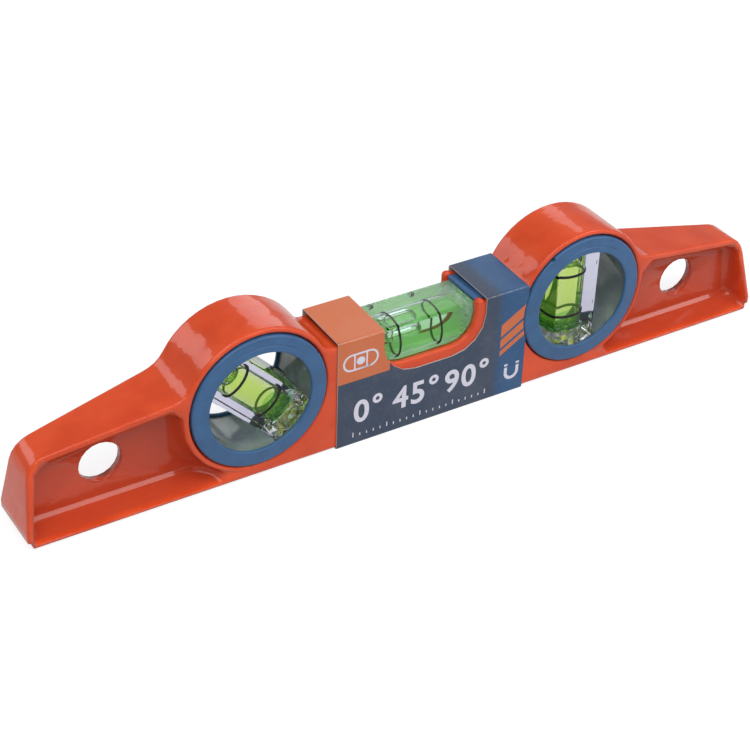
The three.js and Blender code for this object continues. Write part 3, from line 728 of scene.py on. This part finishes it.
def vial_block(vial, settings, acrylic, frosted, wall, backing):
    """A square bar with rounded edges, carried along its length and closed at its ends, flat or on a
    round of the turret. The bore is a profile carried round the axis: its radius falls with the
    square of the distance from the middle, and at one end it steps out to the plug's seat."""
    half, seat = vial.half, settings.bore + SEAT_STEP
    loop = square_loop(VIAL_HALF_WIDTH, BLOCK_EDGE, steps=3, pieces=7)

    def end(across):
        if vial.round_end is None:
            return np.full_like(across, vial.plug_end)
        return np.sqrt(vial.round_end**2 - np.minimum(across, vial.round_end) ** 2)

    def section(share, inset=0.0, rise=0.0):
        ring = loop * ((VIAL_HALF_WIDTH - inset) / VIAL_HALF_WIDTH)
        return np.concatenate([share * (end(np.abs(ring[:, 1])) + rise)[:, None], ring], 1)

    edge = [(BLOCK_EDGE * (1 - math.cos(a)), BLOCK_EDGE * (math.sin(a) - 1)) for a in np.linspace(0, np.pi / 2, 4)]
    rows = [section(-1, *step) for step in edge[::-1]]
    rows += [section(share) for share in np.linspace(-0.98, 0.98, 9) * 0.985]
    rows += [section(1, *step) for step in edge]

    angle = np.arctan2(loop[:, 1], loop[:, 0])
    circle = np.stack([np.cos(angle), np.sin(angle)], 1)
    inset_loop = loop * ((VIAL_HALF_WIDTH - BLOCK_EDGE) / VIAL_HALF_WIDTH)
    inwards = np.linspace(0, 1, 7)[:, None, None]

    def cap(sign, hole):
        flat = inset_loop * (1 - inwards) + hole * circle * inwards
        return np.concatenate([sign * end(np.abs(flat[..., 1]))[..., None], flat], -1)

    along = np.linspace(half, -half, 25)
    radius = settings.bore - settings.crown * (along / half) ** 2
    bore = np.stack([np.concatenate([[0], radius]), np.concatenate([[half], along])], 1)
    shoulder = [[radius[-1], -half], [seat, -half]]
    open_cap = cap(-1, seat)
    seat_ring = np.concatenate([np.full((len(angle), 1), -half), seat * circle], 1)
    patches = [
        np.stack(rows), cap(1, 0), open_cap, lathe(bore, angle), lathe(shoulder, angle),
        np.stack([seat_ring, open_cap[-1]]),
    ]
    piece = vial_piece(
        vial, "_clear_block", patches, [acrylic, frosted, wall] + ([backing] if backing else []), "clear_acrylic",
        "_block", kinds=(0, 1 if backing else 0, 1, 2, 1, 1), sharp=32,
    )
    if backing:
        paint_underside(piece.data)


def paint_underside(mesh):
    """Gives the faces that look straight down the last material."""
    kinds = face_values(mesh, "material_index", np.int32, 1)[:, 0]
    height = face_values(mesh, "center")[:, 2]
    under = (face_values(mesh, "normal")[:, 2] < -0.9) & (height < height.min() + 0.1 * MM)
    kinds[under] = len(mesh.materials) - 1
    mesh.polygons.foreach_set("material_index", kinds)
    mesh.update()


def vial_fill(vial, settings, liquid):
    """The liquid: the bore's own profile, a hair wider, carried round the axis and closed at both ends."""
    over = 0.01
    along = np.linspace(-vial.half - over, vial.half + over, 41)
    radius = settings.bore - settings.crown * np.minimum(1, np.abs(along / vial.half)) ** 2 + over
    profile = np.stack([np.concatenate([[0], radius, [0]]), np.concatenate([along[:1], along, along[-1:]])], 1)
    vial_piece(vial, "_green_fill", [lathe(profile)], [liquid], "green_liquid", "_liquid", sharp=50)


def vial_bubble(vial, settings, skin):
    """The bubble: an oval section carried along the bore. Its scale follows a quarter of a
    superellipse at each end, and its upper side stays just under the bore's wall."""
    length, wide, high, at = vial.bubble
    round_length, squareness = 2.9, 2.2
    along = -np.cos(np.linspace(0, np.pi, 41)) * length / 2
    blunt = min(0.98, 2 * round_length / length)
    away = np.clip((np.abs(along) / (length / 2) - (1 - blunt)) / blunt, 0, 1)
    scale = np.sqrt(np.clip(1 - away**squareness, 0, 1))[:, None]
    turn = np.linspace(0, 2 * np.pi, 65)
    top = settings.bore - settings.crown - BUBBLE_DROP
    points = np.stack([
        np.repeat((at + along)[:, None], len(turn), 1), scale * wide * np.cos(turn),
        top - high + scale * high * np.sin(turn),
    ], -1)
    vial_piece(vial, "_air_bubble", [points], [skin], "air", "_bubble", sharp=60, body=vial.body)


def vial_lines(vial, settings, black):
    """Two rings, each a small rounded band carried round the axis at half the line spacing."""
    half = settings.line_width * vial.line_share / 2
    low, high = settings.bore - 0.02, settings.bore + 0.36
    corners = [[low, 0], [low, -half], [high, -half], [high, half], [low, half], [low, 0]]
    for tag, side in (("a", 1), ("b", -1)):
        profile = rounded_profile(corners, [0.08] * 4, 3)
        profile[:, 1] += vial.lines_at + side * settings.line_spacing / 2
        vial_piece(
            vial, f"_reading_line_{tag}", [lathe(profile)], [black], "black_line", f"_line_{tag}", sharp=50
        )


def vial_plug(vial, settings, frosted, wall):
    """The plug: a rounded disc carried round the axis, cemented against the end of the bore."""
    radius, inside, outside = settings.bore + PLUG_STEP, -vial.half, 0.04 - vial.plug_end
    waist = [radius, inside - 0.5]
    inner = rounded_profile([[0, inside], [radius, inside], waist], [0.15], 3)
    outer = rounded_profile([waist, [radius, outside], [0, outside]], [0.25], 3)
    patches = [lathe(inner[:2]), lathe(inner[1:]), lathe(outer)]
    vial_piece(vial, "_end_plug", patches, [frosted, wall], "clear_acrylic", "_plug", kinds=(1, 0, 0))


def bezel_ring(name, turret, rear, notch_at, settings, plastic):
    """A rounded profile carried round the turret's axis. The rim draws in at the pry notch, and three
    shallow arcs sink into the face: their depth falls off with the distance from their radius."""
    low, high = box_in_mm(name)
    outer = (high[0] - low[0]) / 2 - 0.1
    seat, lip = (low[1], high[1]) if rear else (-high[1], -low[1])
    opening, skirt = outer - 5.15, outer - 1.7
    face, back = lip - 0.42, lip - settings.plate
    corners = [
        [skirt + 0.9, seat], [outer, seat], [outer, face], [opening + 0.8, lip], [opening, lip],
        [opening, back], [skirt, back], [skirt, seat], [skirt + 0.9, seat],
    ]
    profile = rounded_profile(corners, [0.25, 0.75, 0.9, 0.45, 0.15, 0.2, 0.15], 6)

    # The face's slope gets points enough for the arcs
    face_foot, far_off = face - 0.3, 9
    off_face = (profile[:, 1] < face_foot) * far_off
    ends = [np.argmin(np.abs(profile[:, 0] - radius) + off_face) for radius in (outer - 0.9, opening + 1.4)]
    first, last = sorted(ends)
    share = np.linspace(0, 1, 60)[:, None]
    slope = profile[first] * (1 - share) + profile[last] * share
    profile = np.concatenate([profile[:first], slope, profile[last + 1:]])

    notch, soft = math.radians(notch_at), 0.08
    near = notch + np.linspace(-1.6, 1.6, 33) * settings.notch_width / outer
    turn = np.unique(np.concatenate([np.linspace(0, 2 * np.pi, 181), np.mod(near, 2 * np.pi)]))
    ring = lathe(profile, turn)[..., [1, 0, 2]]
    radius = np.hypot(ring[..., 0], ring[..., 2])
    away = np.abs((turn - notch + np.pi) % (2 * np.pi) - np.pi) * outer
    dip = settings.notch_depth * np.clip((settings.notch_width / 2 + soft - away) / (2 * soft), 0, 1)
    ring[..., [0, 2]] *= np.minimum(1, (outer - dip) / radius)[..., None]

    degrees, fade, width = np.degrees(turn), 3, 0.14
    for at, start, stop, depth in (
        (settings.groove_radius, 50, 120, settings.groove_depth),
        (settings.groove_radius - 0.8, 95, 124, settings.groove_depth * 0.6),
        (outer - 1.15, 20, 160, settings.groove_depth * 0.35),
    ):
        present = np.clip((degrees - start) / fade, 0, 1) * np.clip((stop - degrees) / fade, 0, 1)
        sunk = depth * np.exp(-(((radius - at) / width) ** 2)) * present
        ring[..., 1] -= sunk * (ring[..., 1] > face_foot)
    if not rear:
        ring[..., 1] *= -1
    piece_from_patches(name + "_ring", [ring + turret], [plastic], "blue_plastic", (name,), sharp=42)


def bare_the_card(mesh, box):
    """Gives the second material to the faces that don't look away from the sleeve: its cuts and its
    inside. Away is the direction out of the sleeve's box, which turns from side to side at a fold."""
    low, high = box
    centre, half, turns_within = (low + high)[1:] / 2, (high - low)[1:] / 2, 1.2
    offset = face_values(mesh, "center")[:, 1:] / MM - centre
    inside = np.abs(offset) - (half - turns_within)
    nearest = inside >= inside.max(1, keepdims=True)
    share = np.where((inside > 0).all(1, keepdims=True), inside, nearest)
    away = share * np.sign(offset)
    away /= np.linalg.norm(away, axis=1, keepdims=True)
    facing = (away * face_values(mesh, "normal")[:, 1:]).sum(1)
    mesh.polygons.foreach_set("material_index", (facing < 0.6).astype(np.int32))
    mesh.update()


# Signs printed on the sleeve, with [x, z] places measured along it and up from the sole

def band(line, width):
    """A line of [x, z] points given a width: each point moves out to both sides along the mean normal
    of its neighbours."""
    line = np.asarray(line, float)
    step = np.gradient(line, axis=0)
    if np.allclose(line[0], line[-1]):
        step[0] = step[-1] = line[1] - line[-2]
    normal = np.stack([-step[:, 1], step[:, 0]], 1)
    normal /= np.linalg.norm(normal, axis=1, keepdims=True)
    return np.stack([line + normal * width / 2, line - normal * width / 2])


def arc_line(centre, radius, start, stop, steps):
    """Points on part of a circle."""
    angle = np.radians(np.linspace(start, stop, steps + 1))
    return np.array(centre) + radius * np.stack([np.cos(angle), np.sin(angle)], 1)


def straight(first, last):
    """Points along a straight line, close together at its ends."""
    share = np.array([0.0, 0.02, 0.5, 0.98, 1.0])[:, None]
    return np.array(first) * (1 - share) + np.array(last) * share


def vial_sign(centre, half, radius, width):
    """A small drawing of a vial: an outline of two half circles joined by straight lines, two lines
    across it, and its bubble, which is a filled oval as a band from its left to its right edge."""
    x, z = centre
    right = arc_line((x + half - radius, z), radius, -90, 90, 12)
    left = arc_line((x - half + radius, z), radius, 90, 270, 12)
    shapes = [band(np.concatenate([right, left, right[:1]]), width)]
    for line_at in (x - half * 0.36, x + half * 0.36):
        shapes.append(band(straight((line_at, z - radius), (line_at, z + radius)), width * 0.8))
    across = np.linspace(-0.999, 0.999, 31)
    up = np.sqrt(1 - across**2) * radius * 0.5
    bubble_x = x + across * half * 0.25
    shapes.append(np.stack([np.stack([bubble_x, z + side * up], 1) for side in (1, -1)]))
    return shapes


def sleeve_signs():
    """The small signs on the front: a row of ticks, a vial and a magnet."""
    tick_foot, prongs, bend = 2.2, (28.3, 32.5), 7.0
    shapes = []
    for i, x in enumerate(np.arange(-25.0, 21.1, 2.3)):
        tall = 1.6 if i % 5 == 0 else 0.9
        shapes.append(band(straight((x, tick_foot), (x, tick_foot + tall)), 0.34))
    shapes += vial_sign((-23.0, 28.6), half=5.6, radius=2.6, width=0.62)
    left, right = prongs
    middle_x, radius = (left + right) / 2, (right - left) / 2
    shapes.append(band(np.concatenate([
        straight((left, bend + 2), (left, bend)), arc_line((middle_x, bend), radius, 180, 360, 20),
        straight((right, bend), (right, bend + 2)),
    ]), 1.1))
    shapes += [band(straight((x - 0.6, 9.9), (x + 0.6, 9.9)), 0.7) for x in prongs]
    return shapes


def ink_pads(shapes, level, thickness):
    """Each flat band in [x, z] becomes a thin closed pad on the sleeve's front: a tube of four sides
    along the band, with a face at each end. Pads that cross have slightly different heights."""
    pads = []
    for i, (left, right) in enumerate(shapes):
        front = level - thickness * (1 + 0.2 * (i % 4))
        corners = ((left, level), (left, front), (right, front), (right, level), (left, level))
        tube = np.stack([
            np.stack([side[:, 0], np.full(len(side), depth), side[:, 1] + SOLE], 1) for side, depth in corners
        ])
        pads.append(tube)
        pads += [tube[:4, end][[0, 1, 3, 2]].reshape(2, 2, 3) for end in (0, -1)]
    return pads


def number_sign(name, text, at, size, level, settings, ink):
    """Numbers set in the built-in typeface, made a mesh, then stood up on the sleeve's front: a
    point's height on the page becomes its height on the sleeve, and its thickness points forwards."""
    page = bpy.data.curves.new(name, "FONT")
    page.body = text
    page.size = size * MM
    page.offset = 0.022 * size * MM
    page.extrude = settings.ink_height * MM / 2
    page.space_character = 1.12
    page.resolution_u = 6
    written = new_object(name, page)
    bpy.context.view_layer.update()
    mesh = bpy.data.meshes.new_from_object(written.evaluated_get(bpy.context.evaluated_depsgraph_get()))
    bpy.data.objects.remove(written)
    bpy.data.curves.remove(page)
    mesh.materials.clear()
    corner = Vector((at[0], level, at[1] + SOLE)) * MM
    mesh.transform(Matrix.Translation(corner) @ Matrix.Rotation(math.pi / 2, 4, "X"))
    mesh.update()
    finish_piece(name, mesh, [ink], "printed_card", sharp=30)


# Stage

def studio(settings):
    """A pale floor that runs to a white background, and large soft lamps round the level."""
    floor = Finish("Pale floor")
    seen = (floor.ray("Glossy") * 0.5).most(floor.ray("Camera")).most(floor.ray("Transmission"))
    away = Value(floor, floor.vector("LENGTH", floor.place)["Value"])
    glow = away.between(0.3, 1.6) * 0.16 + 0.78
    dim = floor.shader("BsdfDiffuse", {"Color": (0.33, 0.33, 0.34)})
    bright = floor.shader("Emission", {"Color": (1, 1, 1), "Strength": glow})
    shown = floor.shader("AddShader", {0: dim, 1: bright})
    plain = floor.shader("BsdfDiffuse", {"Color": settings.floor})
    floor.surface(floor.blend(seen, plain, shown))

    edge = np.linspace(-4, 4, 5)
    grid = np.stack(np.meshgrid(edge, edge, indexing="ij") + [np.full((5, 5), -0.02 * MM)], -1)
    mesh = bpy.data.meshes.new("studio_floor")
    mesh.from_pydata(grid.reshape(-1, 3).tolist(), [], grid_faces(5, 5).tolist())
    mesh.materials.append(floor.material)
    plane = new_object("studio_floor", mesh)

    world = bpy.data.worlds.new("Studio")
    bpy.context.scene.world = world
    room = Nodes(world, "World")
    soft = room.shader("Background", {"Color": (0.93, 0.95, 1.0), "Strength": 0.32})
    white = room.shader("Background", {"Color": (1, 1, 1), "Strength": 1.0})
    room.surface(room.blend(room.ray("Camera").most(room.ray("Transmission")), soft, white))

    for name, at, wide, high, power, colour in LAMPS:
        data = bpy.data.lights.new(name, "AREA")
        data.shape = "RECTANGLE"
        data.size, data.size_y = wide, high
        data.energy = power
        data.color = colour
        lamp = new_object(name, data)
        lamp.location = at
        lamp.rotation_euler = (Vector((0, 0, 0.02)) - Vector(at)).to_track_quat("-Z", "Y").to_euler()


def photo_camera(settings):
    """The camera: it looks at a point on the level from its own azimuth and elevation, slightly rolled."""
    azimuth, elevation, roll = (math.radians(a) for a in (CAMERA.azimuth, CAMERA.elevation, CAMERA.roll))
    turns = ((azimuth, "Z"), (math.pi / 2 - elevation, "X"), (roll, "Z"))
    first, second, third = (Matrix.Rotation(angle, 4, axis) for angle, axis in turns)
    target, back_off = (Matrix.Translation(Vector(v) * MM) for v in (CAMERA.target, (0, 0, CAMERA.distance)))
    data = bpy.data.cameras.new("Photo camera")
    data.lens = settings.lens
    data.sensor_width = 36
    data.clip_start, data.clip_end = 0.01, 20
    camera = new_object("Photo camera", data)
    camera.matrix_world = target @ first @ second @ third @ back_off
    bpy.context.scene.camera = camera


# Operators

class LevelOperator:
    """What the operators share"""
    bl_options = {"REGISTER", "UNDO"}


class LEVEL_OT_cast_body(LevelOperator, bpy.types.Operator):
    """Coat the cast body with gloss enamel"""
    bl_idname = "level.cast_body"
    bl_label = "Cast body"

    def execute(self, context):
        paint = enamel(in_mm(context.scene.level_paint))
        dressed_copy("painted_body", "cast_body", [paint], "red_paint", sharp=50)
        return {"FINISHED"}


class LEVEL_OT_vials(LevelOperator, bpy.types.Operator):
    """Build the three block vials with their liquid, bubbles, lines and plugs"""
    bl_idname = "level.vials"
    bl_label = "Vials"

    def execute(self, context):
        settings = in_mm(context.scene.level_vials)
        turret_look = (
            # The turret blocks' tint is painted shade of the backdrop seen through them.
            clear_acrylic("Clear acrylic", settings.acrylic),
            frosted_acrylic("Cemented acrylic", (0.92, 0.95, 0.92), (0.96, 0.98, 0.30)),
            vial_liquid("Green vial liquid", settings.liquid, settings, 14.0),
            None,
        )
        top_look = (
            clear_acrylic("Clear acrylic of the top vial", settings.top_acrylic, settings.backing),
            frosted_acrylic("Cemented acrylic of the top vial", (0.86, 0.92, 0.86), (0.74, 0.88, 0.74)),
            vial_liquid("Green liquid of the top vial", settings.top_liquid, settings, 7.0),
            backing_paint(settings),
        )
        wall, skin, black = wetted_wall(), bubble_skin(), line_print()
        for vial in VIALS:
            acrylic, frosted, liquid, backing = top_look if vial.name == "top_vial" else turret_look
            vial_block(vial, settings, acrylic, frosted, wall, backing)
            vial_fill(vial, settings, liquid)
            vial_bubble(vial, settings, skin)
            vial_lines(vial, settings, black)
            vial_plug(vial, settings, frosted, wall)
        return {"FINISHED"}


class LEVEL_OT_bezels(LevelOperator, bpy.types.Operator):
    """Build the four bezels with their pry notches and engraved arcs"""
    bl_idname = "level.bezels"
    bl_label = "Bezels"

    def execute(self, context):
        settings = in_mm(context.scene.level_plastic)
        plastic = moulded_plastic("Blue plastic", settings)
        for hand, turret, notch_at in (("left", LEFT_TURRET, 31), ("right", RIGHT_TURRET, 125)):
            for rear, place in ((False, "front"), (True, "rear")):
                bezel_ring(f"{hand}_{place}_bezel", turret, rear, notch_at, settings, plastic)
        return {"FINISHED"}


class LEVEL_OT_liners(LevelOperator, bpy.types.Operator):
    """Give the liners of the turrets their smoked plastic"""
    bl_idname = "level.liners"
    bl_label = "Liners"

    def execute(self, context):
        smoked = smoked_liner(in_mm(context.scene.level_vials))
        for hand in ("left", "right"):
            dressed_copy(f"{hand}_smoked_liner", f"{hand}_liner", [smoked], "smoked_acrylic")
        return {"FINISHED"}


class LEVEL_OT_retainers(LevelOperator, bpy.types.Operator):
    """Give the retainers of the top vial their blue plastic"""
    bl_idname = "level.retainers"
    bl_label = "Retainers"

    def execute(self, context):
        plastic = moulded_plastic("Blue plastic of the retainers", in_mm(context.scene.level_plastic))
        for hand in ("left", "right"):
            dressed_copy(f"{hand}_vial_clip", f"{hand}_vial_retainer", [plastic], "blue_plastic", sharp=50)
        return {"FINISHED"}


class LEVEL_OT_magnets(LevelOperator, bpy.types.Operator):
    """Plate the magnets in the sole"""
    bl_idname = "level.magnets"
    bl_label = "Magnets"

    def execute(self, context):
        plate = nickel_plate()
        for hand in ("left", "right"):
            for place in ("inner", "outer"):
                name = f"{hand}_{place}_magnet"
                dressed_copy(name + "_disc", name, [plate], "plated_magnet")
        return {"FINISHED"}


class LEVEL_OT_sleeve(LevelOperator, bpy.types.Operator):
    """Print the card sleeve and lay its signs on it"""
    bl_idname = "level.sleeve"
    bl_label = "Card sleeve"

    def execute(self, context):
        settings = in_mm(context.scene.level_card)
        box = box_in_mm("card_sleeve")
        cards = [printed_card(settings, box), raw_card(settings)]
        sleeve = dressed_copy("printed_sleeve", "card_sleeve", cards, "printed_card", sharp=30)
        bare_the_card(sleeve.data, box)
        front = box[0][1] + 0.002  # a hair inside the card, so that the signs touch it
        ink = white_ink(settings)
        pads = ink_pads(sleeve_signs(), front, settings.ink_height)
        piece_from_patches("sleeve_signs", pads, [ink], "printed_card", weld=1e-7, sharp=30)
        foot, size = 7.2, 10.6
        for tag, text, x in (("level", "0°", -25.0), ("slant", "45°", -11.6), ("plumb", "90°", 6.2)):
            number_sign(f"number_{tag}", text, (x, foot), size, front, settings, ink)
        return {"FINISHED"}


class LEVEL_OT_stage(LevelOperator, bpy.types.Operator):
    """Set up the floor, the lamps and the camera"""
    bl_idname = "level.stage"
    bl_label = "Studio"

    def execute(self, context):
        settings = context.scene.level_studio
        context.scene.view_settings.view_transform = "Standard"
        studio(settings)
        photo_camera(settings)
        return {"FINISHED"}


OPERATORS = (
    LEVEL_OT_cast_body, LEVEL_OT_vials, LEVEL_OT_bezels, LEVEL_OT_liners,
    LEVEL_OT_retainers, LEVEL_OT_magnets, LEVEL_OT_sleeve, LEVEL_OT_stage,
)
SETTINGS = {
    "level_paint": PaintSettings, "level_plastic": PlasticSettings, "level_vials": VialSettings,
    "level_card": CardSettings, "level_studio": StudioSettings,
}


class LEVEL_PT_panel(bpy.types.Panel):
    """Lists the pieces of the level and their settings"""
    bl_idname = "LEVEL_PT_panel"
    bl_label = "Cast spirit level"
    bl_space_type = "VIEW_3D"
    bl_region_type = "UI"
    bl_category = "Level"

    def draw(self, context):
        for operator in OPERATORS:
            self.layout.operator(operator.bl_idname)
        for name, group in SETTINGS.items():
            box = self.layout.box()
            box.label(text=group.__doc__)
            for key in group.__annotations__:
                box.prop(getattr(context.scene, name), key)


CLASSES = (*SETTINGS.values(), *OPERATORS, LEVEL_PT_panel)


def register():
    for kind in CLASSES:
        bpy.utils.register_class(kind)
    for name, group in SETTINGS.items():
        setattr(bpy.types.Scene, name, bpy.props.PointerProperty(type=group))


def unregister():
    for name in SETTINGS:
        delattr(bpy.types.Scene, name)
    for kind in reversed(CLASSES):
        bpy.utils.unregister_class(kind)


def main():
    register()
    bpy.ops.level.cast_body()
    bpy.ops.level.vials()
    bpy.ops.level.bezels()
    bpy.ops.level.liners()
    bpy.ops.level.retainers()
    bpy.ops.level.magnets()
    bpy.ops.level.sleeve()
    bpy.ops.level.stage()


if __name__ == "__main__":
    main()
